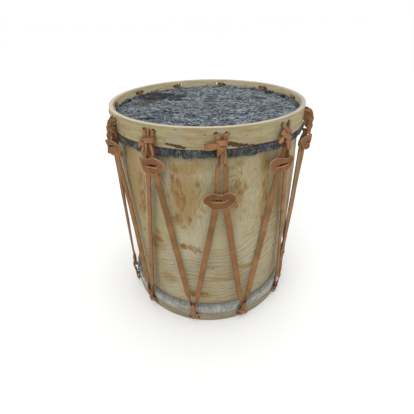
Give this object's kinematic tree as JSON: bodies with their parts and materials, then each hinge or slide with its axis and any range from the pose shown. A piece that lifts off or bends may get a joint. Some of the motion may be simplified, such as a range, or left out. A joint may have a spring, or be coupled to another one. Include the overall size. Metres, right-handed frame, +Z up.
{
  "type": "bombo leguero",
  "caption": "Deep drum hollowed from a trunk, with furred hide heads, bent wooden counter-hoops and a zigzag leather lace tightened by sliding leather tabs.",
  "frame": {"origin": "middle of the drum's footprint, on the surface that the bottom hoop stands on", "axes": "+Z up along the drum's axis towards the grey head, -Y towards the viewer of the picture, +X to the right"},
  "size_m": [0.4365, 0.432, 0.472],
  "materials": {
    "trunk_wood": "satin",
    "hoop_wood": "satin",
    "bottom_hoop_wood": "matte",
    "grey_hide": "furred",
    "white_hide": "furred",
    "hidden_wood": "matte",
    "lace_leather": "satin",
    "becket_leather": "satin",
    "tab_leather": "satin"
  },
  "bodies": {
    "drum": {"shell": "trunk_wood", "top_hoop": "hoop_wood", "bottom_hoop": "bottom_hoop_wood", "top_skin": "grey_hide", "bottom_skin": "white_hide", "top_flesh_hoop": "hidden_wood", "bottom_flesh_hoop": "hidden_wood", "tension_lace": "lace_leather", "top_becket_1": "becket_leather", "top_becket_2": "becket_leather", "top_becket_3": "becket_leather", "top_becket_4": "becket_leather", "top_becket_5": "becket_leather", "top_becket_6": "becket_leather", "top_becket_7": "becket_leather", "top_becket_8": "becket_leather", "top_becket_9": "becket_leather", "top_becket_10": "becket_leather", "top_becket_11": "becket_leather", "bottom_becket_1": "becket_leather", "bottom_becket_2": "becket_leather", "bottom_becket_3": "becket_leather", "bottom_becket_4": "becket_leather", "bottom_becket_5": "becket_leather", "bottom_becket_6": "becket_leather", "bottom_becket_7": "becket_leather", "bottom_becket_8": "becket_leather", "bottom_becket_9": "becket_leather", "bottom_becket_10": "becket_leather", "bottom_becket_11": "becket_leather"},
    "tab_1": {"tension_tab_1": "tab_leather"},
    "tab_2": {"tension_tab_2": "tab_leather"},
    "tab_3": {"tension_tab_3": "tab_leather"},
    "tab_4": {"tension_tab_4": "tab_leather"},
    "tab_5": {"tension_tab_5": "tab_leather"},
    "tab_6": {"tension_tab_6": "tab_leather"},
    "tab_7": {"tension_tab_7": "tab_leather"},
    "tab_8": {"tension_tab_8": "tab_leather"},
    "tab_9": {"tension_tab_9": "tab_leather"},
    "tab_10": {"tension_tab_10": "tab_leather"},
    "tab_11": {"tension_tab_11": "tab_leather"}
  },
  "joints": [
    {"name": "tab_1_slide", "type": "slide", "parent": "drum", "child": "tab_1", "axis": [0, 0, 1], "range_m": [-0.1, 0], "deforming": ["tension_lace"]},
    {"name": "tab_2_slide", "type": "slide", "parent": "drum", "child": "tab_2", "axis": [0, 0, 1], "range_m": [-0.1, 0], "deforming": ["tension_lace"]},
    {"name": "tab_3_slide", "type": "slide", "parent": "drum", "child": "tab_3", "axis": [0, 0, 1], "range_m": [-0.1, 0], "deforming": ["tension_lace"]},
    {"name": "tab_4_slide", "type": "slide", "parent": "drum", "child": "tab_4", "axis": [0, 0, 1], "range_m": [-0.06, 0.045], "deforming": ["tension_lace"]},
    {"name": "tab_5_slide", "type": "slide", "parent": "drum", "child": "tab_5", "axis": [0, 0, 1], "range_m": [-0.1, 0], "deforming": ["tension_lace"]},
    {"name": "tab_6_slide", "type": "slide", "parent": "drum", "child": "tab_6", "axis": [0, 0, 1], "range_m": [-0.1, 0], "deforming": ["tension_lace"]},
    {"name": "tab_7_slide", "type": "slide", "parent": "drum", "child": "tab_7", "axis": [0, 0, 1], "range_m": [-0.1, 0], "deforming": ["tension_lace"]},
    {"name": "tab_8_slide", "type": "slide", "parent": "drum", "child": "tab_8", "axis": [0, 0, 1], "range_m": [-0.1, 0], "deforming": ["tension_lace"]},
    {"name": "tab_9_slide", "type": "slide", "parent": "drum", "child": "tab_9", "axis": [0, 0, 1], "range_m": [-0.1, 0], "deforming": ["tension_lace"]},
    {"name": "tab_10_slide", "type": "slide", "parent": "drum", "child": "tab_10", "axis": [0, 0, 1], "range_m": [-0.1, 0], "deforming": ["tension_lace"]},
    {"name": "tab_11_slide", "type": "slide", "parent": "drum", "child": "tab_11", "axis": [0, 0, 1], "range_m": [-0.1, 0], "deforming": ["tension_lace"]}
  ]
}
